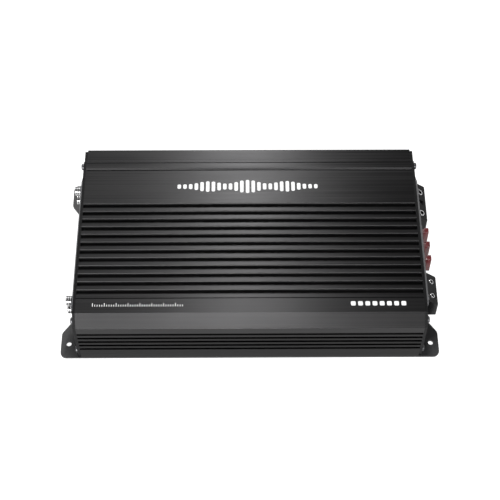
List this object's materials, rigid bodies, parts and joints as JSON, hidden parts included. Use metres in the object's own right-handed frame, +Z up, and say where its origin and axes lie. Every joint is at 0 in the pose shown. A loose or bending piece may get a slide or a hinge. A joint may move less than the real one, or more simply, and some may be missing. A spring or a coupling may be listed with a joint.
{
  "type": "car amplifier",
  "caption": "Black finned car audio power amplifier with mounting feet, phono inputs on one end and clamp terminals and blade fuses on the other.",
  "frame": {"origin": "centre of the footprint, on the surface the amplifier rests on", "axes": "+X towards the power and speaker terminals, along the fins; +Y towards the rear, the side with the raised ridge; +Z up"},
  "size_m": [0.3324, 0.186, 0.0626],
  "materials": {
    "black_anodised": "black anodised, brushed along the fins",
    "black_painted_sheet": "satin black powder coat",
    "black_plastic": "moulded, fine texture",
    "grey_plastic": "moulded, satin",
    "black_screw": "black oxide",
    "zinc_screw": "zinc plated",
    "chrome_parts": "polished nickel",
    "brass_parts": "machined brass, tinned",
    "red_fuse": "translucent red",
    "fuse_blade": "tinned zinc alloy",
    "circuit_board": "green solder mask",
    "ferrite": "sintered, coated",
    "copper_wire": "enamelled copper",
    "capacitor_sleeve": "dark sleeve over aluminium can",
    "transistor_case": "moulded epoxy with tinned tab",
    "silicone_pad": "grey silicone",
    "steel_bar": "plain",
    "white_insulator": "moulded",
    "white_print": "screen-printed marks",
    "lamp_lens": "diffused lens"
  },
  "bodies": {
    "root": {"heatsink_shell": "black_anodised", "bottom_plate": "black_painted_sheet", "left_end_plate": "black_painted_sheet", "right_end_plate": "black_painted_sheet", "input_cover_strip": "grey_plastic", "terminal_cover_strip": "grey_plastic", "end_plate_screws": "black_screw", "cover_strip_screws": "black_screw", "bottom_plate_screws": "black_screw", "main_board": "circuit_board", "board_standoffs": "brass_parts", "board_screws": "zinc_screw", "transformer_core": "ferrite", "transformer_winding": "copper_wire", "output_choke_core": "ferrite", "output_choke_winding": "copper_wire", "rail_capacitors": "capacitor_sleeve", "input_capacitors": "capacitor_sleeve", "driver_card": "circuit_board", "control_board": "circuit_board", "supply_transistors": "transistor_case", "output_transistors": "transistor_case", "insulating_strips": "silicone_pad", "transistor_clamps": "steel_bar", "clamp_bar_screws": "zinc_screw", "power_terminal_housing": "black_plastic", "speaker_terminal_housing": "black_plastic", "power_terminal_inserts": "brass_parts", "speaker_terminal_inserts": "brass_parts", "fuse_holders": "grey_plastic", "fuse_clips": "brass_parts", "jack_blocks": "black_plastic", "jack_shells": "chrome_parts", "jack_insulators": "white_insulator", "jack_contacts": "brass_parts", "potentiometers": "steel_bar", "phase_switch_body": "steel_bar", "remote_level_jack": "black_plastic", "indicator_lamps": "lamp_lens"},
    "ground_foot": {"ground_foot": "zinc_screw"},
    "ground_screw": {"ground_screw": "chrome_parts"},
    "remote_foot": {"remote_foot": "zinc_screw"},
    "remote_screw": {"remote_screw": "chrome_parts"},
    "battery_foot": {"battery_foot": "zinc_screw"},
    "battery_screw": {"battery_screw": "chrome_parts"},
    "speaker_plus_foot": {"speaker_plus_foot": "zinc_screw"},
    "speaker_plus_screw": {"speaker_plus_screw": "chrome_parts"},
    "speaker_minus_foot": {"speaker_minus_foot": "zinc_screw"},
    "speaker_minus_screw": {"speaker_minus_screw": "chrome_parts"},
    "rear_fuse": {"rear_fuse_cap": "red_fuse", "rear_fuse_blades": "fuse_blade"},
    "middle_fuse": {"middle_fuse_cap": "red_fuse", "middle_fuse_blades": "fuse_blade"},
    "front_fuse": {"front_fuse_cap": "red_fuse", "front_fuse_blades": "fuse_blade"},
    "gain_dial": {"gain_dial": "black_plastic"},
    "low_pass_dial": {"low_pass_dial": "black_plastic"},
    "subsonic_dial": {"subsonic_dial": "black_plastic"},
    "bass_boost_dial": {"bass_boost_dial": "black_plastic"},
    "phase_switch_lever": {"phase_switch_lever": "black_plastic"}
  },
  "joints": [
    {"name": "ground_foot_travel", "type": "slide", "parent": "root", "child": "ground_foot", "axis": [-0.5882, 0, -0.8087], "range_m": [0, 0.006]},
    {"name": "ground_screw_turn", "type": "hinge", "parent": "ground_foot", "child": "ground_screw", "pos_m": [0.1583, 0.0636, 0.03042], "axis": [-0.5882, 0, -0.8087], "range_deg": [0, 2160]},
    {"name": "remote_foot_travel", "type": "slide", "parent": "root", "child": "remote_foot", "axis": [-0.5882, 0, -0.8087], "range_m": [0, 0.0018]},
    {"name": "remote_screw_turn", "type": "hinge", "parent": "remote_foot", "child": "remote_screw", "pos_m": [0.1583, 0.052, 0.03042], "axis": [-0.5882, 0, -0.8087], "range_deg": [0, 1296]},
    {"name": "battery_foot_travel", "type": "slide", "parent": "root", "child": "battery_foot", "axis": [-0.5882, 0, -0.8087], "range_m": [0, 0.006]},
    {"name": "battery_screw_turn", "type": "hinge", "parent": "battery_foot", "child": "battery_screw", "pos_m": [0.1583, 0.0404, 0.03042], "axis": [-0.5882, 0, -0.8087], "range_deg": [0, 2160]},
    {"name": "speaker_plus_foot_travel", "type": "slide", "parent": "root", "child": "speaker_plus_foot", "axis": [-0.6283, 0, -0.7779], "range_m": [0, 0.0036]},
    {"name": "speaker_plus_screw_turn", "type": "hinge", "parent": "speaker_plus_foot", "child": "speaker_plus_screw", "pos_m": [0.1606, -0.034, 0.03055], "axis": [-0.6283, 0, -0.7779], "range_deg": [0, 1620]},
    {"name": "speaker_minus_foot_travel", "type": "slide", "parent": "root", "child": "speaker_minus_foot", "axis": [-0.6283, 0, -0.7779], "range_m": [0, 0.0036]},
    {"name": "speaker_minus_screw_turn", "type": "hinge", "parent": "speaker_minus_foot", "child": "speaker_minus_screw", "pos_m": [0.1606, -0.0483, 0.03055], "axis": [-0.6283, 0, -0.7779], "range_deg": [0, 1620]},
    {"name": "rear_fuse_pull", "type": "slide", "parent": "root", "child": "rear_fuse", "axis": [1, 0, 0], "range_m": [0, 0.009]},
    {"name": "middle_fuse_pull", "type": "slide", "parent": "root", "child": "middle_fuse", "axis": [1, 0, 0], "range_m": [0, 0.009]},
    {"name": "front_fuse_pull", "type": "slide", "parent": "root", "child": "front_fuse", "axis": [1, 0, 0], "range_m": [0, 0.009]},
    {"name": "gain_dial_turn", "type": "hinge", "parent": "root", "child": "gain_dial", "pos_m": [-0.15, -0.031, 0.033], "axis": [-1, 0, 0], "range_deg": [-140, 140]},
    {"name": "low_pass_dial_turn", "type": "hinge", "parent": "root", "child": "low_pass_dial", "pos_m": [-0.15, -0.016, 0.033], "axis": [-1, 0, 0], "range_deg": [-140, 140]},
    {"name": "subsonic_dial_turn", "type": "hinge", "parent": "root", "child": "subsonic_dial", "pos_m": [-0.15, -0.001, 0.033], "axis": [-1, 0, 0], "range_deg": [-140, 140]},
    {"name": "bass_boost_dial_turn", "type": "hinge", "parent": "root", "child": "bass_boost_dial", "pos_m": [-0.15, 0.014, 0.033], "axis": [-1, 0, 0], "range_deg": [-140, 140]},
    {"name": "phase_switch_slide", "type": "slide", "parent": "root", "child": "phase_switch_lever", "axis": [0, 1, 0], "range_m": [0, 0.003]}
  ],
  "couplings": [
    {"joint": "ground_screw_turn", "follows": "ground_foot_travel", "rad_per_m": 6283.2},
    {"joint": "remote_screw_turn", "follows": "remote_foot_travel", "rad_per_m": 12566},
    {"joint": "battery_screw_turn", "follows": "battery_foot_travel", "rad_per_m": 6283.2},
    {"joint": "speaker_plus_screw_turn", "follows": "speaker_plus_foot_travel", "rad_per_m": 7854},
    {"joint": "speaker_minus_screw_turn", "follows": "speaker_minus_foot_travel", "rad_per_m": 7854}
  ]
}
